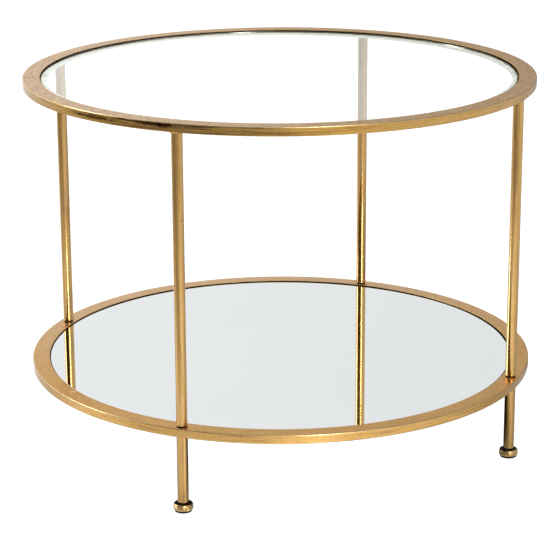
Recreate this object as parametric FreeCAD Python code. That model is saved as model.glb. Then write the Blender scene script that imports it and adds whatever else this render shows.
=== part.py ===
import FreeCAD, Part
import math
import os

# Tiered side table: two flat-bar rings, one above the other, on four round
# legs. The upper ring holds a loose clear glass, the lower one a loose mirror.
# Frame: origin on the floor under the middle of the table, +Z up, millimetres.
# The legs stand on the diagonals; "front" is -Y and "left" is -X.

# ---- driving dimensions ---------------------------------------------------
HEIGHT = 478.0          # floor to the top of the upper ring
RING_D = 650.0          # outside of both rings
BAR_W = 22.0            # flat bar, across (radially)
BAR_T = 11.0            # flat bar, up and down
BAR_EDGE = 1.0          # rounding of the bar's long edges
TIER_GAP = 369.5        # top face of one ring to top face of the other

LEG_D = 13.5            # leg tube, outside
LEG_WALL = 1.5
LEG_ANGLES = {"front_left": 225.0, "front_right": 315.0,
              "back_right": 45.0, "back_left": 135.0}

LEDGE_W = 8.0           # inner lip that carries a pane
LEDGE_T = 3.0

GLASS_T = 5.0
GLASS_RECESS = 2.2      # ring's top face down to the glass
PAD_D = 5.0             # clear bumper under the glass
PAD_T = 0.6
PAD_COUNT = 8
MIRROR_T = 4.0
MIRROR_RECESS = 1.6
BACKING_T = 2.2
PANE_GAP = 1.4          # pane's edge to the ring, all round when centred
PANE_EDGE = 0.7         # ground edge of a pane
PANE_SHIFT = (-0.51, 0.21)  # where the loose panes have settled

THREAD_D = 6.0          # M6 studs and leveller stems, drawn at the major diameter
RUNNING = 0.05          # radial clearance of a turning fit
RING_HOLE_D = 6.6
WASHER_D = 11.6         # thin dark washer between upper leg and lower ring
WASHER_T = 1.4
PLUG_RIM_D = 14.0       # rim of a leg plug, just proud of the tube
PLUG_RIM_T = 1.8
PLUG_LEN = 18.0         # spigot inside the tube
STUD_LOW, STUD_HIGH = 13.0, 17.0  # stud below and above the lower ring

GLIDE_D = 21.5
GLIDE_T = 2.4
GLIDE_PEG_D = 7.0
GLIDE_PEG_H = 2.6
FOOT_D = 24.0
FOOT_T = 8.4
FOOT_GROOVES = (3.75, 5.15)  # heights of two turned lines round the foot
GROOVE_W, GROOVE_DEEP = 0.9, 0.45
FOOT_STEM = 24.0        # thread above the foot's disc
FOOT_GAP = 1.2          # foot to the leg's lower plug when stored
WELD = 2.8              # fillet weld round the head of each upper leg

# ---- derived --------------------------------------------------------------
R_OUT = RING_D / 2.0
R_IN = R_OUT - BAR_W
R_LEG = R_OUT - BAR_W / 2.0
Z_TOP = HEIGHT
Z_SHELF = HEIGHT - TIER_GAP
LEG_R = LEG_D / 2.0
BORE_R = LEG_R - LEG_WALL
Z_FOOT_TOP = GLIDE_T + FOOT_T
Z_LEG_END = Z_FOOT_TOP + FOOT_GAP
Z_UNDER_TOP = Z_TOP - BAR_T
Z_UNDER_SHELF = Z_SHELF - BAR_T
UP = FreeCAD.Vector(0, 0, 1)
AXIS0 = FreeCAD.Vector(0, 0, 0)

os.makedirs("parts", exist_ok=True)


def at(x, y, z):
    return FreeCAD.Vector(x, y, z)


def disc(r, z0, z1, x=0.0, y=0.0):
    return Part.makeCylinder(r, z1 - z0, at(x, y, z0), UP)


def tube(r_out, r_in, z0, z1, x=0.0, y=0.0):
    outer = disc(r_out, z0, z1, x, y)
    inner = disc(r_in, z0 - 1.0, z1 + 1.0, x, y)
    return outer.cut(inner)


def turned(points, x=0.0, y=0.0):
    """Solid of revolution about the vertical through (x, y). points are
    (radius, z); a third value on a point rounds the corner by that radius."""
    corners = [at(p[0], 0, p[1]) for p in points]
    n = len(points)
    ins, outs = [], []
    for i, p in enumerate(points):
        r = p[2] if len(p) > 2 else 0.0
        c = corners[i]
        a = (corners[i - 1] - c)
        b = (corners[(i + 1) % n] - c)
        a.normalize()
        b.normalize()
        half = a.getAngle(b) / 2.0
        back = r / math.tan(half) if r else 0.0
        ins.append(c + a * back)
        outs.append(c + b * back)
    edges = []
    for i, p in enumerate(points):
        r = p[2] if len(p) > 2 else 0.0
        if r:
            c = corners[i]
            m = (ins[i] + outs[i]) * 0.5 - c
            m.normalize()
            a = ins[i] - c
            a.normalize()
            half = a.getAngle(m)
            mid = c + m * (r / math.sin(half) - r)
            edges.append(Part.Arc(ins[i], mid, outs[i]).toShape())
        nxt = ins[(i + 1) % n]
        if (nxt - outs[i]).Length > 1e-6:
            edges.append(Part.LineSegment(outs[i], nxt).toShape())
    face = Part.Face(Part.Wire(edges))
    solid = face.revolve(AXIS0, UP, 360)
    solid.translate(at(x, y, 0))
    return solid


def save(name, shape):
    solids = shape.Solids
    for s in solids:
        if not s.isValid() or s.Volume <= 0:
            raise RuntimeError("bad solid in " + name)
    out = solids[0] if len(solids) == 1 else Part.makeCompound(solids)
    out.exportStep("parts/" + name + ".step")
    box = out.BoundBox
    print("%-28s %2d solid(s) %10.1f mm3  z %.2f..%.2f" % (
        name, len(solids), sum(s.Volume for s in solids), box.ZMin, box.ZMax))


def ring(z_top):
    """Flat bar rolled on its face into a hoop, with eased edges."""
    z0 = z_top - BAR_T
    e = BAR_EDGE
    return turned([(R_IN, z0, e), (R_OUT, z0, e), (R_OUT, z_top, e), (R_IN, z_top, e)])


LEG_XY = {}
for leg, deg in LEG_ANGLES.items():
    a = math.radians(deg)
    LEG_XY[leg] = (R_LEG * math.cos(a), R_LEG * math.sin(a))

# ---- upper frame ----------------------------------------------------------
save("top_ring", ring(Z_TOP))

z_ledge_top = Z_TOP - GLASS_RECESS - GLASS_T - PAD_T
save("top_ledge", tube(R_IN, R_IN - LEDGE_W, z_ledge_top - LEDGE_T, z_ledge_top))

z_glass = z_ledge_top + PAD_T
r_pane = R_IN - PANE_GAP
g = PANE_EDGE
save("glass_top", turned([(0, z_glass), (r_pane, z_glass, g),
                          (r_pane, z_glass + GLASS_T, g), (0, z_glass + GLASS_T)],
                         *PANE_SHIFT))

r_pad = R_IN - LEDGE_W + PAD_D / 2.0 + 0.3
pads = []
for i in range(PAD_COUNT):
    a = math.radians(22.5 + 360.0 / PAD_COUNT * i)
    pads.append(disc(PAD_D / 2.0, z_ledge_top, z_glass,
                     r_pad * math.cos(a), r_pad * math.sin(a)))
save("glass_pads", Part.makeCompound(pads))

z_upper_end = Z_SHELF + WASHER_T            # underside of an upper leg's plug
z_upper_tube = z_upper_end + PLUG_RIM_T
welds, plugs_upper, washers, studs, plugs_lower, plugs_foot = [], [], [], [], [], []
for leg, (x, y) in LEG_XY.items():
    save("upper_leg_" + leg, tube(LEG_R, BORE_R, z_upper_tube, Z_UNDER_TOP, x, y))

    # concave fillet of weld metal between tube and ring
    p0 = at(LEG_R, 0, Z_UNDER_TOP)
    p1 = at(LEG_R + WELD, 0, Z_UNDER_TOP)
    p2 = at(LEG_R, 0, Z_UNDER_TOP - WELD)
    mid = at(LEG_R + WELD * 0.36, 0, Z_UNDER_TOP - WELD * 0.36)
    wire = Part.Wire([Part.LineSegment(p0, p1).toShape(),
                      Part.Arc(p1, mid, p2).toShape(),
                      Part.LineSegment(p2, p0).toShape()])
    bead = Part.Face(wire).revolve(AXIS0, UP, 360)
    bead.translate(at(x, y, 0))
    welds.append(bead)

    # turned plug in the foot of the upper leg: rim, spigot, tapped through
    plugs_upper.append(turned([
        (THREAD_D / 2, z_upper_end), (PLUG_RIM_D / 2, z_upper_end, 0.4),
        (PLUG_RIM_D / 2, z_upper_tube, 0.4), (BORE_R, z_upper_tube),
        (BORE_R, z_upper_tube + PLUG_LEN), (THREAD_D / 2, z_upper_tube + PLUG_LEN)], x, y))
    washers.append(tube(WASHER_D / 2, RING_HOLE_D / 2, Z_SHELF, z_upper_end, x, y))

    # stud through the lower ring, into both plugs
    s0, s1 = Z_UNDER_SHELF - STUD_LOW, Z_SHELF + STUD_HIGH
    studs.append(turned([(0, s0), (THREAD_D / 2 - 0.8, s0), (THREAD_D / 2, s0 + 0.8),
                         (THREAD_D / 2, s1 - 0.8), (THREAD_D / 2 - 0.8, s1), (0, s1)], x, y))
save("leg_welds", Part.makeCompound(welds))
save("upper_leg_plugs", Part.makeCompound(plugs_upper))
save("leg_washers", Part.makeCompound(washers))
save("joining_studs", Part.makeCompound(studs))

# ---- lower frame ----------------------------------------------------------
lower = ring(Z_SHELF)
for x, y in LEG_XY.values():
    lower = lower.cut(disc(RING_HOLE_D / 2, Z_UNDER_SHELF - 1, Z_SHELF + 1, x, y))
save("shelf_ring", lower)

z_shelf_ledge = Z_SHELF - MIRROR_RECESS - MIRROR_T - BACKING_T
save("shelf_ledge", tube(R_IN, R_IN - LEDGE_W, z_shelf_ledge - LEDGE_T, z_shelf_ledge))

z_back = z_shelf_ledge
z_mirror = z_back + BACKING_T
save("mirror_backing", turned([(0, z_back), (r_pane - 0.8, z_back, 0.3),
                               (r_pane - 0.8, z_mirror), (0, z_mirror)], *PANE_SHIFT))
save("mirror_shelf", turned([(0, z_mirror), (r_pane, z_mirror, g),
                             (r_pane, z_mirror + MIRROR_T, g), (0, z_mirror + MIRROR_T)],
                            *PANE_SHIFT))

z_lower_tube = Z_LEG_END + PLUG_RIM_T
for leg, (x, y) in LEG_XY.items():
    save("lower_leg_" + leg, tube(LEG_R, BORE_R, z_lower_tube, Z_UNDER_SHELF, x, y))
    plugs_lower.append(tube(BORE_R, THREAD_D / 2, Z_UNDER_SHELF - PLUG_LEN, Z_UNDER_SHELF, x, y))
    r_run = THREAD_D / 2 + RUNNING
    plugs_foot.append(turned([
        (r_run, Z_LEG_END), (PLUG_RIM_D / 2, Z_LEG_END, 0.4),
        (PLUG_RIM_D / 2, z_lower_tube, 0.4), (BORE_R, z_lower_tube),
        (BORE_R, z_lower_tube + PLUG_LEN), (r_run, z_lower_tube + PLUG_LEN)], x, y))
save("lower_leg_plugs", Part.makeCompound(plugs_lower))
save("foot_bushes", Part.makeCompound(plugs_foot))

# ---- levelling feet -------------------------------------------------------
peg_r = GLIDE_PEG_D / 2
lines = []
for h in FOOT_GROOVES:
    z = GLIDE_T + h
    lines += [(FOOT_D / 2, z - GROOVE_W / 2), (FOOT_D / 2 - GROOVE_DEEP, z, 0.12),
              (FOOT_D / 2, z + GROOVE_W / 2)]
for leg, (x, y) in LEG_XY.items():
    stem_top = Z_FOOT_TOP + FOOT_STEM
    hole_r = peg_r + RUNNING
    hole_top = GLIDE_T + GLIDE_PEG_H + 0.3
    save("foot_" + leg, turned([
        (0, hole_top), (hole_r, hole_top), (hole_r, GLIDE_T),
        (FOOT_D / 2, GLIDE_T, 1.7), *lines, (FOOT_D / 2, Z_FOOT_TOP, 2.6),
        (THREAD_D / 2, Z_FOOT_TOP), (THREAD_D / 2, stem_top - 0.9),
        (THREAD_D / 2 - 0.9, stem_top), (0, stem_top)], x, y))
    save("glide_" + leg, turned([
        (0, 0), (GLIDE_D / 2, 0, 1.0), (GLIDE_D / 2, GLIDE_T),
        (peg_r, GLIDE_T), (peg_r, GLIDE_T + GLIDE_PEG_H), (0, GLIDE_T + GLIDE_PEG_H)], x, y))
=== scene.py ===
import math

import bpy
import bmesh
from mathutils import Matrix, Vector, noise


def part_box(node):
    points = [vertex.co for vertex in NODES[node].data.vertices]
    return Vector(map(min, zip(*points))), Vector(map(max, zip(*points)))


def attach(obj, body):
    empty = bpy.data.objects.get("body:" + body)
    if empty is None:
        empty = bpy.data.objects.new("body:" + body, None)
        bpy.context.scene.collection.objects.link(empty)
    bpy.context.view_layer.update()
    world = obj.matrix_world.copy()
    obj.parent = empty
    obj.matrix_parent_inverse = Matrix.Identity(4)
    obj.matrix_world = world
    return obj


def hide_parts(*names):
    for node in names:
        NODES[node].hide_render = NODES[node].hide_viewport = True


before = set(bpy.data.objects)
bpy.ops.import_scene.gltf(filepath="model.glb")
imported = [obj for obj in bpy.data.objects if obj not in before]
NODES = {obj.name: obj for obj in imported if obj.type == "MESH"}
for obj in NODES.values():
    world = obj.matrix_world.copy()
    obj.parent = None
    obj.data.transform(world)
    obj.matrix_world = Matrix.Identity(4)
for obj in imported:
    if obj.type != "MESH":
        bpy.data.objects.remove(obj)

bpy.context.view_layer.update()
SCENE = bpy.context.scene

# ---- sizes taken from the frame ------------------------------------------------
ring_lo, ring_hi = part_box("top_ring")
shelf_lo, shelf_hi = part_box("shelf_ring")
R_OUT = ring_hi.x
Z_TOP = ring_hi.z
Z_SHELF = shelf_hi.z
BAR_T = ring_hi.z - ring_lo.z
R_IN = R_OUT - 0.022
LEGS = {}
for key in ("front_left", "front_right", "back_right", "back_left"):
    lo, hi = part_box("upper_leg_" + key)
    LEGS[key] = ((lo.x + hi.x) / 2, (lo.y + hi.y) / 2)
LEG_R = (hi.x - lo.x) / 2


# ---- material helper ------------------------------------------------------------
class Mat:
    """A procedural material: short names for the nodes it is made of."""

    def __init__(self, name):
        self.mat = bpy.data.materials.new(name)
        self.mat.use_nodes = True
        self.nt = self.mat.node_tree
        self.nt.nodes.clear()
        self.out = self.nt.nodes.new("ShaderNodeOutputMaterial")
        self.coord = self.nt.nodes.new("ShaderNodeTexCoord").outputs["Object"]

    def _in(self, socket, value):
        if isinstance(value, bpy.types.NodeSocket):
            self.nt.links.new(value, socket)
        elif value is not None:
            if isinstance(value, (tuple, list)) and socket.type == "RGBA" and len(value) == 3:
                value = (*value, 1.0)
            socket.default_value = value

    def math(self, op, a, b=None, c=None, clamp=False):
        n = self.nt.nodes.new("ShaderNodeMath")
        n.operation = op
        n.use_clamp = clamp
        for i, v in enumerate((a, b, c)):
            if v is not None:
                self._in(n.inputs[i], v)
        return n.outputs[0]

    def xyz(self, v=None):
        n = self.nt.nodes.new("ShaderNodeSeparateXYZ")
        self._in(n.inputs[0], self.coord if v is None else v)
        return n.outputs

    def vec(self, x, y, z):
        n = self.nt.nodes.new("ShaderNodeCombineXYZ")
        for i, v in enumerate((x, y, z)):
            self._in(n.inputs[i], v)
        return n.outputs[0]

    def noise(self, scale, detail=3.0, rough=0.55, v=None, distort=0.0):
        n = self.nt.nodes.new("ShaderNodeTexNoise")
        self._in(n.inputs["Vector"], self.coord if v is None else v)
        n.inputs["Scale"].default_value = scale
        n.inputs["Detail"].default_value = detail
        n.inputs["Roughness"].default_value = rough
        n.inputs["Distortion"].default_value = distort
        return n.outputs["Fac"]

    def cells(self, scale, v=None, feature="F1", randomness=1.0):
        n = self.nt.nodes.new("ShaderNodeTexVoronoi")
        n.feature = feature
        self._in(n.inputs["Vector"], self.coord if v is None else v)
        n.inputs["Scale"].default_value = scale
        n.inputs["Randomness"].default_value = randomness
        return n.outputs

    def span(self, v, a, b, lo=0.0, hi=1.0, smooth=True):
        """v from a..b is taken to lo..hi, and held outside it."""
        n = self.nt.nodes.new("ShaderNodeMapRange")
        n.interpolation_type = "SMOOTHSTEP" if smooth else "LINEAR"
        n.clamp = True
        self._in(n.inputs["Value"], v)
        n.inputs["From Min"].default_value = a
        n.inputs["From Max"].default_value = b
        n.inputs["To Min"].default_value = lo
        n.inputs["To Max"].default_value = hi
        return n.outputs["Result"]

    def mix(self, f, a, b, blend="MIX"):
        n = self.nt.nodes.new("ShaderNodeMix")
        n.data_type = "RGBA"
        n.blend_type = blend
        self._in(n.inputs[0], f)
        self._in(n.inputs[6], a)
        self._in(n.inputs[7], b)
        return n.outputs[2]

    def scaled(self, x, y, z):
        n = self.nt.nodes.new("ShaderNodeMapping")
        n.vector_type = "POINT"
        self._in(n.inputs["Vector"], self.coord)
        n.inputs["Scale"].default_value = (x, y, z)
        return n.outputs[0]

    def bump(self, height, distance, strength=1.0, normal=None):
        n = self.nt.nodes.new("ShaderNodeBump")
        n.inputs["Strength"].default_value = strength
        n.inputs["Distance"].default_value = distance
        self._in(n.inputs["Height"], height)
        if normal is not None:
            self._in(n.inputs["Normal"], normal)
        return n.outputs["Normal"]

    def shader(self, **sockets):
        n = self.nt.nodes.new("ShaderNodeBsdfPrincipled")
        for k, v in sockets.items():
            self._in(n.inputs[k.replace("_", " ")], v)
        return n

    def finish(self, surface):
        self._in(self.out.inputs["Surface"], surface)
        return self.mat


def dress(names, mat):
    for n in names:
        o = NODES[n]
        for s in o.material_slots:
            s.material = mat


# ---- gold leaf --------------------------------------------------------------------
GOLD = (0.545, 0.298, 0.035)
GOLD_PALE = (0.660, 0.405, 0.095)
GOLD_PINK = (0.560, 0.306, 0.052)
GOLD_DEEP = (0.310, 0.145, 0.018)
GOLD_CHALK_SHEEN = (0.800, 0.635, 0.500)
UMBER = (0.060, 0.028, 0.010)


def leaf(name, kind, gloss, tone_and_shade_side=0.0, chalk_and_sheen_az=0.0, chalk_sheen=(0.0, 0.5), mottle=1.0, warm=0.0, glaze_and_reflection=0.0, stains=(), chips=(), coat_ior=1.70, brim=None):
    """Antique gold leaf. kind "ring" lays the streaks along the bar, "leg" up the tube."""
    m = Mat(name)
    x, y, z = m.xyz()
    ring = kind == "ring"
    patches = m.noise(46.0, 4.0, 0.6, distort=0.4)
    fine = m.noise(420.0, 4.0, 0.65)
    crumb = m.noise(520.0, 4.0, 0.7)
    if ring:
        r = m.math("SQRT", m.math("ADD", m.math("MULTIPLY", x, x), m.math("MULTIPLY", y, y)))
        s = m.math("MULTIPLY", m.math("ARCTAN2", y, x), R_OUT)
        along = m.vec(m.math("MULTIPLY", s, 20.0), m.math("MULTIPLY", r, 260.0), m.math("MULTIPLY", z, 350.0))
        fine_along = m.vec(m.math("MULTIPLY", s, 60.0), m.math("MULTIPLY", r, 500.0), m.math("MULTIPLY", z, 700.0))
        nx, ny, nz = m.xyz(m.nt.nodes["Texture Coordinate"].outputs["Normal"])
        upward = m.span(nz, 0.55, 0.90)
        inward_shade = m.math("DIVIDE", m.math("ADD", m.math("MULTIPLY", nx, x), m.math("MULTIPLY", ny, y)), r)
        inward_shade = m.span(inward_shade, -0.35, -0.75)
        below_lip = m.span(z, brim - 0.0004, brim - 0.0007)
        deep_in = m.span(z, brim - 0.0032, brim - 0.0042)
        arris = m.math("MULTIPLY", m.span(nz, 0.12, 0.35), m.span(nz, 0.98, 0.85))
    else:
        along = m.scaled(190.0, 190.0, 9.0)
        across = m.noise(1.0, 3.0, 0.6, v=m.scaled(110.0, 110.0, 1200.0))
        fine_along = m.scaled(700.0, 700.0, 70.0)
    streak = m.noise(1.0, 4.0, 0.6, v=along)
    brush = m.noise(1.0, 2.0, 0.5, v=fine_along)

    col = m.mix(m.span(patches, 0.36, 0.64), GOLD, GOLD_PINK)
    col = m.mix(m.span(streak, 0.52, 0.70, 0.0, 0.60), col, GOLD_PALE)
    col = m.mix(m.span(streak, 0.48, 0.32, 0.0, 0.70), col, GOLD_DEEP)
    col = m.mix(m.span(fine, 0.51, 0.62, 0.0, 0.42 if ring else 0.24), col, GOLD_DEEP)

    # tone of the upper faces by azimuth, partly rubbed leaf and partly painted shade: darker on one side of the table
    if ring:
        side = m.math("ADD", m.math("MULTIPLY", x, math.cos(math.radians(322)) / R_OUT),
                      m.math("MULTIPLY", y, math.sin(math.radians(322)) / R_OUT))
        tone = m.math("MULTIPLY", m.span(side, -0.55, 0.85), upward)
        col = m.mix(m.math("MULTIPLY", tone, tone_and_shade_side), col, (0.33, 0.180, 0.085))
        # partly chalky leaf and partly painted sheen: the upper faces are paler towards a second azimuth
        side = m.math("ADD", m.math("MULTIPLY", x, math.cos(math.radians(chalk_and_sheen_az)) / R_OUT),
                      m.math("MULTIPLY", y, math.sin(math.radians(chalk_and_sheen_az)) / R_OUT))
        if warm:
            col = m.mix(m.math("MULTIPLY", upward, warm), col, (0.76, 0.44, 0.14))
        pale = m.math("MULTIPLY", m.span(side, -0.35, 0.80, chalk_sheen[0], chalk_sheen[1]), upward)
        col = m.mix(pale, col, GOLD_CHALK_SHEEN)
        blotch = m.noise(150.0, 3.0, 0.6, distort=0.6)
        col = m.mix(m.math("MULTIPLY", m.span(blotch, 0.50, 0.60, 0.0, 0.38 * mottle), upward), col, (0.40, 0.235, 0.120))
        col = m.mix(m.math("MULTIPLY", m.span(crumb, 0.51, 0.59, 0.0, 0.62 * mottle), upward), col, (0.24, 0.130, 0.060))
        col = m.mix(m.math("MULTIPLY", m.span(crumb, 0.48, 0.40, 0.0, 0.60 * mottle), upward), col, (0.88, 0.72, 0.54))
        # brown glaze in the streaks of the outer face, partly painted shade for dark surroundings mirrored there,
        # heaviest towards az 214
        side = m.math("ADD", m.math("MULTIPLY", x, math.cos(math.radians(214)) / R_OUT),
                      m.math("MULTIPLY", y, math.sin(math.radians(214)) / R_OUT))
        glaze_and_shade_level = m.math("MULTIPLY", m.span(side, 0.74, 0.92), m.span(nz, 0.5, 0.2))
        glaze_and_shade_level = m.math("MULTIPLY", glaze_and_shade_level, glaze_and_reflection)
        col = m.mix(m.math("MULTIPLY", glaze_and_shade_level, m.span(streak, 0.53, 0.43)), col, (0.120, 0.052, 0.010))
        grit = m.span(m.noise(480.0, 3.0, 0.7), 0.48, 0.58)
        col = m.mix(m.math("MULTIPLY", m.math("MULTIPLY", glaze_and_shade_level, grit), 0.85), col, (0.120, 0.052, 0.010))
        # painted reflection: dark and pale lines along the outer face, towards az 236, stand for the surroundings
        # mirrored in the bar
        mirrored_lines = m.noise(1.0, 3.0, 0.6, v=m.vec(m.math("MULTIPLY", s, 7.0), 0.0, m.math("MULTIPLY", z, 430.0)))
        side = m.math("ADD", m.math("MULTIPLY", x, math.cos(math.radians(236)) / R_OUT),
                      m.math("MULTIPLY", y, math.sin(math.radians(236)) / R_OUT))
        mirrored_lines_mask = m.math("MULTIPLY", m.math("MULTIPLY", m.span(side, 0.70, 0.90), m.span(nz, 0.5, 0.2)), min(1.0, glaze_and_reflection * 1.8))
        col = m.mix(m.math("MULTIPLY", m.math("MULTIPLY", mirrored_lines_mask, m.span(mirrored_lines, 0.48, 0.38)), 0.60), col, (0.170, 0.078, 0.014))
        col = m.mix(m.math("MULTIPLY", m.math("MULTIPLY", mirrored_lines_mask, m.span(mirrored_lines, 0.54, 0.66)), 0.55), col, GOLD_PALE)
        # painted highlight: the rounded top edges are painted pale gold, strongest on the side facing az 225
        side = m.math("ADD", m.math("MULTIPLY", x, math.cos(math.radians(225)) / R_OUT),
                      m.math("MULTIPLY", y, math.sin(math.radians(225)) / R_OUT))
        arris = m.math("MULTIPLY", arris, m.span(side, 0.05, 0.55, 0.15, 1.0))
        col = m.mix(m.math("MULTIPLY", arris, 0.60), col, (0.86, 0.72, 0.42))

    if not ring:
        col = m.mix(0.10, col, (0.060, 0.025, 0.004))

    # small dark pits where the leaf is broken, and stains where the glaze has pooled
    cell = m.cells(150.0)
    pick = m.xyz(cell["Color"])[0]
    pit = m.math("MULTIPLY", m.span(cell["Distance"], 0.20, 0.08), m.span(pick, 0.84, 0.89))
    pit = m.math("MULTIPLY", pit, m.span(m.noise(23.0, 2.0, 0.5), 0.48, 0.62))
    pits_and_shade = pit
    stain = 0.0
    ragged = m.span(m.noise(1.0, 4.0, 0.7, v=m.scaled(110.0, 110.0, 420.0)), 0.42, 0.52)
    for az, zz, length, height, depth in stains:
        a = math.radians(az)
        dx = m.math("SUBTRACT", x, R_OUT * math.cos(a))
        dy = m.math("SUBTRACT", y, R_OUT * math.sin(a))
        near = m.math("ADD", m.math("MULTIPLY", dx, dx), m.math("MULTIPLY", dy, dy))
        near = m.math("MULTIPLY", near, 1.0 / length ** 2)
        dz = m.math("MULTIPLY", m.math("SUBTRACT", z, zz), 1.0 / height)
        near = m.math("SQRT", m.math("ADD", near, m.math("MULTIPLY", dz, dz)))
        spot = m.math("MULTIPLY", m.span(near, 1.20, 0.65), m.math("MAXIMUM", ragged, m.span(near, 0.75, 0.45)))
        stain = m.math("MAXIMUM", stain, m.math("MULTIPLY", spot, depth))
    # chips and dents at known places: (x, y, z), radius, and whether the mark is pale or dark; on the legs the dark
    # marks just under the top ring are painted shade
    for at, radius, pale_mark in chips:
        off = m.nt.nodes.new("ShaderNodeVectorMath")
        off.operation = "DISTANCE"
        m.nt.links.new(m.coord, off.inputs[0])
        off.inputs[1].default_value = at
        wobble = m.math("MULTIPLY_ADD", fine, radius * 1.2, m.math("SUBTRACT", off.outputs["Value"], radius * 0.6))
        spot = m.span(wobble, radius, radius * 0.55)
        if pale_mark:
            col = m.mix(m.math("MULTIPLY", spot, 0.75), col, (0.92, 0.78, 0.62))
        else:
            pits_and_shade = m.math("MAXIMUM", pits_and_shade, m.math("MULTIPLY", spot, 0.8))
    col = m.mix(pits_and_shade, col, UMBER)
    if stains:
        col = m.mix(stain, col, (0.026, 0.005, 0.002))
    if ring:
        # painted shade: inside the recess, under its bright lip, the bar is painted nearly black for the shade in the
        # gap by the glass
        inward_shade = m.math("MULTIPLY", inward_shade, below_lip)
        col = m.mix(m.math("MULTIPLY", inward_shade, m.span(deep_in, 0.0, 1.0, 0.97, 0.70)), col, (0.006, 0.004, 0.002))

    rough = m.span(patches, 0.3, 0.7, gloss - 0.03, gloss + 0.04)
    rough = m.math("ADD", rough, m.span(fine, 0.4, 0.75, -0.03, 0.08) if ring else m.span(fine, 0.4, 0.75, -0.01, 0.03))
    rough = m.math("ADD", rough, m.math("MULTIPLY", pits_and_shade, 0.20), clamp=True)
    metal = m.span(pits_and_shade, 0.0, 1.0, 1.0, 0.35)
    coat = 0.95
    if ring:
        rough = m.math("ADD", rough, m.math("MULTIPLY", inward_shade, 0.35))
        rough = m.math("SUBTRACT", rough, m.math("MULTIPLY", arris, 0.03), clamp=True)
        coat = m.math("MAXIMUM", m.math("MULTIPLY", m.span(upward, 0.0, 1.0, 0.90, 0.08),
                                        m.span(nz, 0.12, 0.30, 1.0, 0.35)), m.math("MULTIPLY", arris, 0.65))
        coat = m.math("MULTIPLY", coat, m.span(glaze_and_shade_level, 0.0, 1.0, 1.0, 0.35))
        coat = m.math("MULTIPLY", coat, m.span(inward_shade, 0.0, 1.0, 1.0, 0.0))
        coat = m.math("MULTIPLY", coat, m.span(m.math("MAXIMUM", pits_and_shade, stain), 0.0, 1.0, 1.0, 0.05))
    n = m.bump(m.noise(60.0, 3.0, 0.5), 0.00030 if ring else 0.00006)
    n = m.bump(streak, 0.00022 if ring else 0.000006, normal=n)
    n = m.bump(fine, 0.00004 if ring else 0.000002, normal=n)
    n = m.bump(brush, 0.00002 if ring else 0.000002, normal=n)
    if not ring:
        n = m.bump(across, 0.000003, normal=n)
    n = m.bump(m.math("MULTIPLY", pit, -1.0), 0.0003, normal=n)
    p = m.shader(Base_Color=col, Metallic=metal, Roughness=rough, Normal=n,
                 Specular_Tint=(0.93, 0.82, 0.68),
                 Coat_Weight=coat, Coat_Roughness=0.10 if ring else 0.06, Coat_IOR=coat_ior)
    return m.finish(p.outputs[0])


CHIP_AZ = 190.5
STAINS = ((205.5, Z_TOP - 0.0052, 0.040, 0.0026, 0.80), (220.5, Z_TOP - 0.0030, 0.027, 0.0024, 0.92),
          (223.5, Z_TOP - 0.0032, 0.013, 0.0026, 0.97), (213.0, Z_TOP - 0.0018, 0.010, 0.0012, 0.80), (216.0, Z_TOP - 0.0022, 0.032, 0.0011, 0.88),
          (208.0, Z_TOP - 0.0060, 0.050, 0.0010, 0.55), (231.0, Z_TOP - 0.0020, 0.030, 0.0007, 0.65),
          (222.3, Z_TOP - 0.0036, 0.0135, 0.0033, 0.98))
dress(["top_ring"], leaf("leaf_top_ring", "ring", 0.35, 0.45, 165, (0.34, 0.85), 1.0, 0.0, 0.40, STAINS, brim=Z_TOP))
dress(["shelf_ring", "shelf_ledge"], leaf("leaf_shelf_ring", "ring", 0.35, 0.10, 80, (0.10, 0.50), 0.35, 0.55, 0.10,
                                        chips=(((R_OUT * 0.951 * math.cos(math.radians(CHIP_AZ)),
                                                 R_OUT * 0.951 * math.sin(math.radians(CHIP_AZ)), Z_SHELF), 0.0040, True),), brim=Z_SHELF))
# a dark dent on the front-left lower leg; the two dark marks just under the top ring are painted shade
LEG_MARKS_AND_SHADE = (((LEGS["front_left"][0] - 0.0016, LEGS["front_left"][1] - 0.0066, 0.0205), 0.0013, False),
             ((LEGS["front_left"][0] - 0.0068, LEGS["front_left"][1] - 0.0036, ring_lo.z - 0.0022), 0.0024, False),
             ((LEGS["front_right"][0] - 0.0066, LEGS["front_right"][1] - 0.0040, ring_lo.z - 0.0030), 0.0018, False))
leg_leaf = leaf("leaf_legs", "leg", 0.25, chips=LEG_MARKS_AND_SHADE, coat_ior=1.80)
dress(["upper_leg_" + k for k in LEGS] + ["lower_leg_" + k for k in LEGS] +
      ["leg_welds", "upper_leg_plugs", "foot_bushes"], leg_leaf)


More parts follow.
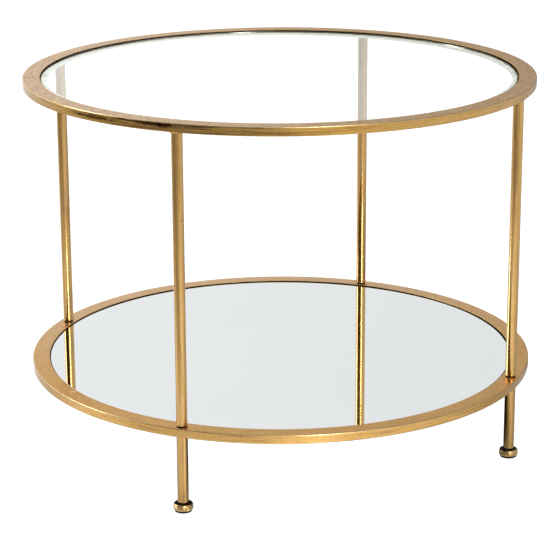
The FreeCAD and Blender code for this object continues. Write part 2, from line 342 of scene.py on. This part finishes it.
def weld_beads():
    """The fillet of weld round each leg's head, rippled and uneven, filed a little on its outer side."""
    bm = bmesh.new()
    around, steps = 112, 8
    for i, (x, y) in enumerate(LEGS.values()):
        loops = []
        for a in range(around):
            t = 2 * math.pi * a / around
            lump = noise.noise(Vector((1.6 * math.cos(t) + 7.0 * i, 1.6 * math.sin(t), 2.3 * i)))
            ripple = math.sin(t * 19 + 2.0 * math.sin(t * 2 + i))
            wide = 0.0026 * (1.0 + 0.34 * lump + 0.06 * ripple)
            deep = 0.0025 * (1.0 - 0.30 * noise.noise(Vector((1.9 * math.cos(t), 1.9 * math.sin(t) + 5.0, 3.7 * i))) + 0.05 * ripple)
            pts = [(LEG_R - 0.0002, ring_lo.z + 0.0002), (LEG_R + wide, ring_lo.z + 0.0002)]
            for k in range(steps + 1):
                f = 0.5 * math.pi * k / steps
                pts.append((LEG_R + 0.0001 + (wide - 0.0001) * math.cos(f) ** 1.35, ring_lo.z - deep * math.sin(f) ** 1.35))
            pts.append((LEG_R - 0.0002, ring_lo.z - deep))
            loops.append([bm.verts.new((x + r * math.cos(t), y + r * math.sin(t), z)) for r, z in pts])
        for a in range(around):
            p0, p1 = loops[a], loops[(a + 1) % around]
            for k in range(len(p0)):
                j = (k + 1) % len(p0)
                bm.faces.new((p0[k], p0[j], p1[j], p1[k]))
    bmesh.ops.recalc_face_normals(bm, faces=bm.faces)
    for f in bm.faces:
        f.smooth = True
    me = bpy.data.meshes.new("weld_beads")
    bm.to_mesh(me)
    bm.free()
    me.materials.append(leg_leaf)
    o = bpy.data.objects.new("weld_beads", me)
    SCENE.collection.objects.link(o)
    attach(o, "frame")
    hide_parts("leg_welds")


weld_beads()


def ledge_tape():
    """Leaf underneath and at the edge; the face the glass lies on carries a pale cushioning tape."""
    m = Mat("ledge_with_tape")
    x, y, z = m.xyz()
    nz = m.xyz(m.nt.nodes["Texture Coordinate"].outputs["Normal"])[2]
    top = m.span(nz, -0.50, -0.15)
    # painted shade: past the tape, set a little to one side, a near-black band stands for the shaded gap by the ring's
    # wall
    dx, dy = m.math("ADD", x, 0.0008), m.math("SUBTRACT", y, 0.0003)
    gap_shade = m.math("SQRT", m.math("ADD", m.math("MULTIPLY", dx, dx), m.math("MULTIPLY", dy, dy)))
    gap_shade = m.math("MULTIPLY", m.span(gap_shade, 0.3003, 0.3007), top)
    weave = m.noise(300.0, 2.0, 0.5)
    patches = m.noise(46.0, 4.0, 0.6)
    col = m.mix(m.span(patches, 0.36, 0.64), GOLD, GOLD_PINK)
    col = m.mix(top, col, m.mix(m.span(weave, 0.35, 0.65), (0.74, 0.69, 0.62), (0.70, 0.65, 0.58)))
    col = m.mix(gap_shade, col, (0.006, 0.004, 0.002))
    rough = m.math("ADD", m.span(patches, 0.3, 0.7, 0.32, 0.40), m.math("MULTIPLY", top, 0.25))
    p = m.shader(Base_Color=col, Metallic=m.math("MAXIMUM", m.span(top, 0.0, 1.0, 1.0, 0.0), gap_shade), Roughness=rough,
                 Normal=m.bump(weave, 0.00003))
    return m.finish(p.outputs[0])


dress(["top_ledge"], ledge_tape())

# ---- turned feet --------------------------------------------------------------------
def turned_gold():
    m = Mat("turned_gold_feet")
    x, y, z = m.xyz()
    rings = m.noise(1.0, 3.0, 0.6, v=m.scaled(60.0, 60.0, 2600.0))
    patch = m.noise(160.0, 3.0, 0.6)
    col = m.mix(m.span(patch, 0.35, 0.65), (0.72, 0.48, 0.17), (0.62, 0.40, 0.12))
    col = m.mix(m.span(rings, 0.52, 0.75, 0.0, 0.35), col, (0.30, 0.16, 0.05))
    # painted shade: the flat top round the leg is painted nearly black, for the shade and dark reflection of the table
    # above
    nz = m.xyz(m.nt.nodes["Texture Coordinate"].outputs["Normal"])[2]
    top_shade = m.span(nz, 0.80, 0.96)
    col = m.mix(m.math("MULTIPLY", top_shade, 0.98), col, (0.006, 0.004, 0.003))
    rough = m.math("ADD", m.span(patch, 0.3, 0.7, 0.23, 0.31), m.math("MULTIPLY", top_shade, 0.35))
    n1 = m.bump(rings, 0.000010)
    p = m.shader(Base_Color=col, Metallic=m.span(top_shade, 0.0, 1.0, 1.0, 0.98), Roughness=rough, Normal=n1,
                 Coat_Weight=m.span(top_shade, 0.0, 1.0, 0.8, 0.0), Coat_Roughness=0.22, Coat_IOR=1.8)
    return m.finish(p.outputs[0])


dress(["foot_" + k for k in LEGS], turned_gold())


# ---- black nylon, washers, zinc, bumpers, board ------------------------------------------
def nylon(name, base, rough):
    m = Mat(name)
    grain = m.noise(900.0, 3.0, 0.6)
    wear = m.noise(140.0, 3.0, 0.6)
    col = m.mix(m.span(wear, 0.40, 0.70), base, tuple(c * 2.0 + 0.002 for c in base))
    rr = m.span(grain, 0.3, 0.7, rough - 0.06, rough + 0.10)
    p = m.shader(Base_Color=col, Roughness=rr, Specular_IOR_Level=0.12, Normal=m.bump(grain, 0.00004))
    return m.finish(p.outputs[0])


dress(["glide_" + k for k in LEGS], nylon("black_nylon", (0.0035, 0.0035, 0.0038), 0.42))
dress(["leg_washers"], nylon("black_fibre", (0.006, 0.005, 0.004), 0.62))


def zinc():
    m = Mat("zinc_plate")
    spangle = m.cells(380.0)
    tone = m.noise(90.0, 3.0, 0.6)
    col = m.mix(m.span(tone, 0.35, 0.65), (0.50, 0.51, 0.53), (0.60, 0.60, 0.58))
    col = m.mix(m.span(m.xyz(spangle["Color"])[0], 0.2, 0.9, 0.0, 0.35), col, (0.42, 0.43, 0.46))
    rough = m.span(tone, 0.3, 0.7, 0.28, 0.42)
    p = m.shader(Base_Color=col, Metallic=1.0, Roughness=rough, Normal=m.bump(m.noise(500.0), 0.00003))
    return m.finish(p.outputs[0])


ZINC = zinc()
dress(["joining_studs", "lower_leg_plugs"], ZINC)


def bumper():
    m = Mat("clear_bumper")
    n = m.noise(700.0, 2.0, 0.5)
    col = m.mix(m.span(n, 0.3, 0.7), (0.74, 0.71, 0.63), (0.69, 0.66, 0.58))
    p = m.shader(Base_Color=col, Roughness=m.span(n, 0.3, 0.7, 0.35, 0.5), IOR=1.47,
                 Transmission_Weight=0.25, Normal=m.bump(n, 0.00004))
    return m.finish(p.outputs[0])


dress(["glass_pads"], bumper())


def board():
    m = Mat("hardboard_back")
    x, y, z = m.xyz()
    fibre = m.noise(1.0, 5.0, 0.7, v=m.scaled(240.0, 900.0, 400.0))
    blot = m.noise(30.0, 4.0, 0.6)
    col = m.mix(m.span(blot, 0.35, 0.65), (0.030, 0.026, 0.022), (0.050, 0.043, 0.036))
    col = m.mix(m.span(fibre, 0.58, 0.75, 0.0, 0.6), col, (0.11, 0.085, 0.060))
    p = m.shader(Base_Color=col, Roughness=m.span(fibre, 0.3, 0.7, 0.62, 0.82), Normal=m.bump(fibre, 0.00012))
    return m.finish(p.outputs[0])


dress(["mirror_backing"], board())


# ---- glass and mirror ------------------------------------------------------------------
def glass():
    m = Mat("clear_float_glass")
    smudge = m.noise(9.0, 5.0, 0.62, distort=0.8)
    dust = m.noise(600.0, 2.0, 0.5)
    col = m.mix(m.span(smudge, 0.35, 0.7), (0.928, 0.985, 0.944), (0.914, 0.978, 0.934))
    rough = m.math("ADD", m.span(smudge, 0.52, 0.78, 0.0, 0.018), m.span(dust, 0.62, 0.8, 0.0, 0.02))
    p = m.shader(Base_Color=col, Roughness=rough, IOR=1.5, Transmission_Weight=1.0)
    clear = m.nt.nodes.new("ShaderNodeBsdfTransparent")
    clear.inputs[0].default_value = (0.92, 0.95, 0.935, 1)
    path = m.nt.nodes.new("ShaderNodeLightPath")
    mixed = m.nt.nodes.new("ShaderNodeMixShader")
    m.nt.links.new(path.outputs["Is Shadow Ray"], mixed.inputs[0])
    m.nt.links.new(p.outputs[0], mixed.inputs[1])
    m.nt.links.new(clear.outputs[0], mixed.inputs[2])
    return m.finish(mixed.outputs[0])


dress(["glass_top"], glass())


def mirror():
    m = Mat("silvered_glass")
    x, y, z = m.xyz()
    lo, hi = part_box("mirror_shelf")
    nz = m.xyz(m.nt.nodes["Texture Coordinate"].outputs["Normal"])[2]
    smudge = m.noise(7.0, 5.0, 0.6, distort=0.8)
    face = m.span(nz, 0.80, 0.95)
    col = m.mix(m.span(smudge, 0.35, 0.7), (0.850, 0.876, 0.878), (0.836, 0.868, 0.872))
    col = m.mix(face, (0.24, 0.34, 0.30), col)
    rough = m.math("ADD", m.span(smudge, 0.5, 0.8, 0.0, 0.012), m.span(face, 0.0, 1.0, 0.32, 0.0))
    p = m.shader(Base_Color=col, Metallic=m.span(face, 0.0, 1.0, 0.15, 1.0), Roughness=rough)
    return m.finish(p.outputs[0])


dress(["mirror_shelf"], mirror())

# ---- floor, world, lights, camera ----------------------------------------------------------
def facing(nt, vector, azimuth, inner, outer):
    """1 where a level direction lies within inner degrees of azimuth (from +X towards +Y), 0 past outer."""
    flat = nt.nodes.new("ShaderNodeVectorMath")
    flat.operation = "MULTIPLY"
    nt.links.new(vector, flat.inputs[0])
    flat.inputs[1].default_value = (1, 1, 0)
    unit = nt.nodes.new("ShaderNodeVectorMath")
    unit.operation = "NORMALIZE"
    nt.links.new(flat.outputs[0], unit.inputs[0])
    dot = nt.nodes.new("ShaderNodeVectorMath")
    dot.operation = "DOT_PRODUCT"
    nt.links.new(unit.outputs[0], dot.inputs[0])
    a = math.radians(azimuth)
    dot.inputs[1].default_value = (math.cos(a), math.sin(a), 0)
    return graded(nt, dot.outputs["Value"], math.cos(math.radians(outer)), math.cos(math.radians(inner)), 0, 1)


def graded(nt, value, a, b, lo, hi):
    n = nt.nodes.new("ShaderNodeMapRange")
    n.interpolation_type = "SMOOTHSTEP"
    nt.links.new(value, n.inputs["Value"])
    n.inputs["From Min"].default_value = a
    n.inputs["From Max"].default_value = b
    n.inputs["To Min"].default_value = lo
    n.inputs["To Max"].default_value = hi
    return n.outputs[0]


def sums(nt, op, a, b):
    n = nt.nodes.new("ShaderNodeMath")
    n.operation = op
    for i, v in enumerate((a, b)):
        if isinstance(v, bpy.types.NodeSocket):
            nt.links.new(v, n.inputs[i])
        else:
            n.inputs[i].default_value = v
    return n.outputs[0]


def blended(nt, f, a, b):
    """a at f 0, b at f 1, as plain numbers."""
    n = nt.nodes.new("ShaderNodeMix")
    n.data_type = "FLOAT"
    for i, v in ((0, f), (2, a), (3, b)):
        if isinstance(v, bpy.types.NodeSocket):
            nt.links.new(v, n.inputs[i])
        else:
            n.inputs[i].default_value = v
    return n.outputs[0]


def through_glass(nt):
    """1 for what is seen straight through the pane, with no mirror on the way."""
    path = nt.nodes.new("ShaderNodeLightPath")
    glossy = sums(nt, "MINIMUM", path.outputs["Glossy Depth"], 1.0)
    return path, sums(nt, "MULTIPLY", path.outputs["Is Transmission Ray"], sums(nt, "SUBTRACT", 1.0, glossy))


DARK_AZ, KEY_AZ, SIDE_AZ = 208.0, 265.0, 148.0


def pale_floor():
    """White sweep that glows. In a gloss it shows painted light and shade: a painted shadow under the table, painted
    pools and streaks of light, dimmer further out, dark on the camera's left.
    """
    bm = bmesh.new()
    bmesh.ops.create_circle(bm, cap_ends=True, segments=96, radius=9.0)
    me = bpy.data.meshes.new("floor")
    bm.to_mesh(me)
    bm.free()
    o = bpy.data.objects.new("floor", me)
    SCENE.collection.objects.link(o)
    o.location.z = -0.0003
    m = Mat("pale_floor")
    nt = m.nt
    dist = nt.nodes.new("ShaderNodeVectorMath")
    dist.operation = "LENGTH"
    nt.links.new(m.coord, dist.inputs[0])
    d = dist.outputs["Value"]
    # painted light and shade round the table in the floor's gloss, set by azimuth
    near = 1.02
    for az, inner, outer, gain in ((268, 8, 34, 0.30), (178, 4, 20, 0.30), (236, 10, 30, 0.10), (350, 22, 46, -0.50), (150, 10, 24, -0.24), (30, 16, 36, -0.36)):
        near = sums(nt, "ADD", near, sums(nt, "MULTIPLY", facing(nt, m.coord, az, inner, outer), gain))
    # painted shadow: in a gloss the floor is dark under the table and brightens out past its edge
    near = sums(nt, "MULTIPLY", near, graded(nt, d, 0.20, 0.43, 0.0, 1.0))
    near = sums(nt, "MULTIPLY", near, graded(nt, d, 0.50, 0.66, 1.0, 1.25))
    # painted shadow off the front right of the table
    shade = sums(nt, "MULTIPLY", facing(nt, m.coord, 282, 8, 22), graded(nt, d, 0.39, 0.46, 0.55, 0.0))
    near = sums(nt, "MULTIPLY", near, sums(nt, "SUBTRACT", 1.0, shade))
    # painted light and shade of the floor further out, as gloss sees it
    far = blended(nt, facing(nt, m.coord, 188, 14, 60), 0.99, 0.39)
    far = blended(nt, facing(nt, m.coord, 40, 22, 42), far, 0.56)
    far = blended(nt, facing(nt, m.coord, 104, 6, 18), far, 0.85)
    far = blended(nt, facing(nt, m.coord, 48, 9, 17), far, 0.38)
    far = blended(nt, facing(nt, m.coord, 256, 18, 32), far, 0.54)
    v = blended(nt, graded(nt, d, 0.45, 1.7, 0.0, 1.0), near, far)
    # painted shade: a dimmer band of floor towards az 217
    painted_dim_band = sums(nt, "MULTIPLY", facing(nt, m.coord, 217, 16, 32),
                sums(nt, "MULTIPLY", graded(nt, d, 0.68, 0.78, 0.0, 0.27), graded(nt, d, 1.25, 1.55, 1.0, 0.0)))
    v = sums(nt, "MULTIPLY", v, sums(nt, "SUBTRACT", 1.0, painted_dim_band))
    # a narrow pool of lamp light in front of the table
    pool = sums(nt, "MULTIPLY", facing(nt, m.coord, 258, 2, 7),
                sums(nt, "MULTIPLY", graded(nt, d, 0.74, 0.84, 0.0, 1.0), graded(nt, d, 1.15, 1.45, 1.0, 0.0)))
    v = sums(nt, "ADD", v, sums(nt, "MULTIPLY", pool, 0.8))
    # painted light: a brighter band of floor towards az 268
    painted_light_band = sums(nt, "MULTIPLY", facing(nt, m.coord, 268, 12, 28),
                sums(nt, "MULTIPLY", graded(nt, d, 1.10, 1.30, 0.0, 1.0), graded(nt, d, 1.62, 1.80, 1.0, 0.0)))
    v = sums(nt, "ADD", v, sums(nt, "MULTIPLY", painted_light_band, 0.36))
    # painted light: a narrow streak of floor light running out from the front-left foot
    foot = nt.nodes.new("ShaderNodeVectorMath")
    foot.operation = "SUBTRACT"
    nt.links.new(m.coord, foot.inputs[0])
    foot.inputs[1].default_value = (*LEGS["front_left"], 0.0)
    away = nt.nodes.new("ShaderNodeVectorMath")
    away.operation = "LENGTH"
    nt.links.new(foot.outputs["Vector"], away.inputs[0])
    streak = sums(nt, "MULTIPLY", facing(nt, foot.outputs["Vector"], 291, 4, 11), graded(nt, away.outputs["Value"], 0.46, 0.38, 0.0, 1.0))
    v = sums(nt, "ADD", v, sums(nt, "MULTIPLY", streak, 0.9))
    path, clear = through_glass(nt)
    v = blended(nt, path.outputs["Is Glossy Ray"], 1.12, v)
    v = blended(nt, clear, v, 1.9)
    glow = nt.nodes.new("ShaderNodeEmission")
    glow.inputs[0].default_value = (1.0, 0.998, 0.99, 1)
    nt.links.new(v, glow.inputs[1])
    tone = m.noise(1.2, 3.0, 0.5)
    card = nt.nodes.new("ShaderNodeBsdfDiffuse")
    nt.links.new(m.mix(m.span(tone, 0.3, 0.7), (0.135, 0.135, 0.134), (0.12, 0.12, 0.119)), card.inputs[0])
    lit = nt.nodes.new("ShaderNodeAddShader")
    nt.links.new(glow.outputs[0], lit.inputs[0])
    nt.links.new(card.outputs[0], lit.inputs[1])
    both = nt.nodes.new("ShaderNodeMixShader")
    nt.links.new(path.outputs["Is Glossy Ray"], both.inputs[0])
    nt.links.new(lit.outputs[0], both.inputs[1])
    nt.links.new(glow.outputs[0], both.inputs[2])
    # from below the floor isn't there, so the table's underside can be looked at
    below = nt.nodes.new("ShaderNodeNewGeometry")
    gone = nt.nodes.new("ShaderNodeBsdfTransparent")
    side = nt.nodes.new("ShaderNodeMixShader")
    nt.links.new(below.outputs["Backfacing"], side.inputs[0])
    nt.links.new(both.outputs[0], side.inputs[1])
    nt.links.new(gone.outputs[0], side.inputs[2])
    me.materials.append(m.finish(side.outputs[0]))


pale_floor()

CAM = Vector((-1.02314, -2.40370, 0.99032))
RIGHT = Vector((0.921535, -0.388265, -0.004823)).normalized()
FORWARD = Vector((0.370942, 0.883956, -0.284648)).normalized()
UP = RIGHT.cross(FORWARD)
cam_data = bpy.data.cameras.new("photo_view")
cam = bpy.data.objects.new("photo_view", cam_data)
SCENE.collection.objects.link(cam)
cam.matrix_world = Matrix((
    (RIGHT.x, UP.x, -FORWARD.x, CAM.x),
    (RIGHT.y, UP.y, -FORWARD.y, CAM.y),
    (RIGHT.z, UP.z, -FORWARD.z, CAM.z),
    (0, 0, 0, 1)))
cam_data.sensor_width = 36.0
cam_data.lens = 139.03
cam_data.clip_start = 0.05
cam_data.clip_end = 60.0
SCENE.camera = cam


def studio():
    """White studio: bright low sweep behind, softer above, two softboxes, dark on the camera's left."""
    world = bpy.data.worlds.new("studio")
    SCENE.world = world
    world.use_nodes = True
    nt = world.node_tree
    nt.nodes.clear()
    out = nt.nodes.new("ShaderNodeOutputWorld")
    bg = nt.nodes.new("ShaderNodeBackground")
    tc = nt.nodes.new("ShaderNodeTexCoord")
    way = tc.outputs["Generated"]
    sep = nt.nodes.new("ShaderNodeSeparateXYZ")
    nt.links.new(way, sep.inputs[0])
    z = sep.outputs[2]

    def sine(deg):
        return math.sin(math.radians(deg))

    lean = facing(nt, way, 110, 36, 50)
    v = blended(nt, graded(nt, z, sine(12), sine(17), 0, 1), blended(nt, lean, 0.78, 1.06), blended(nt, lean, 0.87, 0.93))
    v = blended(nt, graded(nt, z, sine(22), sine(32), 0, 1), v, blended(nt, lean, 0.45, 0.85))
    v = blended(nt, graded(nt, z, sine(50), sine(75), 0, 1), v, 0.75)
    right = sums(nt, "MULTIPLY", facing(nt, way, 340, 40, 72), graded(nt, z, sine(75), sine(50), 0, 1))
    deep = nt.nodes.new("ShaderNodeLightPath").outputs["Glossy Depth"]
    deep = sums(nt, "MINIMUM", sums(nt, "MAXIMUM", sums(nt, "SUBTRACT", deep, 1.0), 0.0), 1.0)
    v = blended(nt, right, v, blended(nt, deep, 0.48, 0.98))
    dark = sums(nt, "MULTIPLY", facing(nt, way, DARK_AZ, 34, 43), graded(nt, z, sine(82), sine(58), 0, 1))
    v = blended(nt, dark, v, 0.03)
    key = sums(nt, "MULTIPLY", facing(nt, way, KEY_AZ, 2, 7),
               sums(nt, "MULTIPLY", graded(nt, z, sine(7), sine(13), 0, 1), graded(nt, z, sine(52), sine(40), 0, 1)))
    v = blended(nt, key, v, blended(nt, deep, 17.0, 16.0))
    side = sums(nt, "MULTIPLY", facing(nt, way, SIDE_AZ, 3, 9),
                sums(nt, "MULTIPLY", graded(nt, z, sine(1), sine(8), 0, 1), graded(nt, z, sine(40), sine(30), 0, 1)))
    v = blended(nt, side, v, blended(nt, deep, 12.0, 11.0))
    low = sums(nt, "MULTIPLY", facing(nt, way, 46, 12, 26), graded(nt, z, sine(13), sine(7), 0, 1))
    v = blended(nt, low, v, 0.35)
    # seen straight on, or through the glass, the backdrop is plain white
    path, clear = through_glass(nt)
    v = blended(nt, clear, v, 2.0)
    v = blended(nt, path.outputs["Is Camera Ray"], v, 1.1)
    bg.inputs[0].default_value = (1, 1, 1, 1)
    nt.links.new(v, bg.inputs[1])
    nt.links.new(bg.outputs[0], out.inputs[0])


studio()

SCENE.view_settings.view_transform = "Standard"
SCENE.view_settings.look = "None"
SCENE.view_settings.exposure = 0.0
SCENE.view_settings.gamma = 1.0

bpy.context.view_layer.update()
